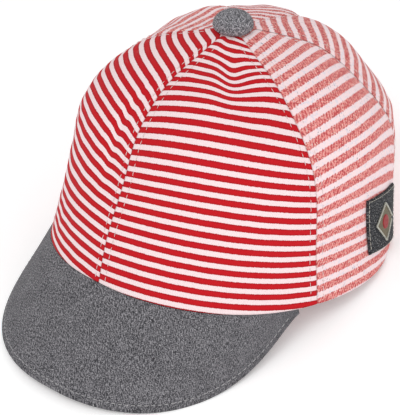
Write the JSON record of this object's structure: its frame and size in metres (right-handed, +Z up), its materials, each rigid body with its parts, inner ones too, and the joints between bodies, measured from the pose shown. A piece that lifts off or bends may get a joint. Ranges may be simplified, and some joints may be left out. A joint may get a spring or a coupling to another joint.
{
  "type": "child's baseball cap",
  "caption": "Soft striped child's baseball cap with a rounded panelled crown, a short curved chambray peak, a covered top button and a side label.",
  "frame": {"origin": "centre of the bounding box, at the level of the surface that the cap rests on", "axes": "+Z up, -Y towards the front, where the peak is, +X towards the wearer's left"},
  "size_m": [0.1522, 0.211, 0.1142],
  "materials": {
    "front_jersey": "matt knitted cotton with even red and white stripes",
    "flecked_jersey": "matt knitted cotton with flecked pale red and white stripes",
    "chambray": "matt woven cotton, dark grey flecked with white",
    "label_cloth": "matt dark woven label with a pale stitched border"
  },
  "bodies": {
    "root": {"front_panel_left": "front_jersey", "front_panel_right": "front_jersey", "side_panel_left": "flecked_jersey", "side_panel_right": "flecked_jersey", "back_panel_left": "flecked_jersey", "back_panel_right": "flecked_jersey", "peak": "chambray", "top_button": "chambray", "side_label": "label_cloth"}
  },
  "joints": []
}
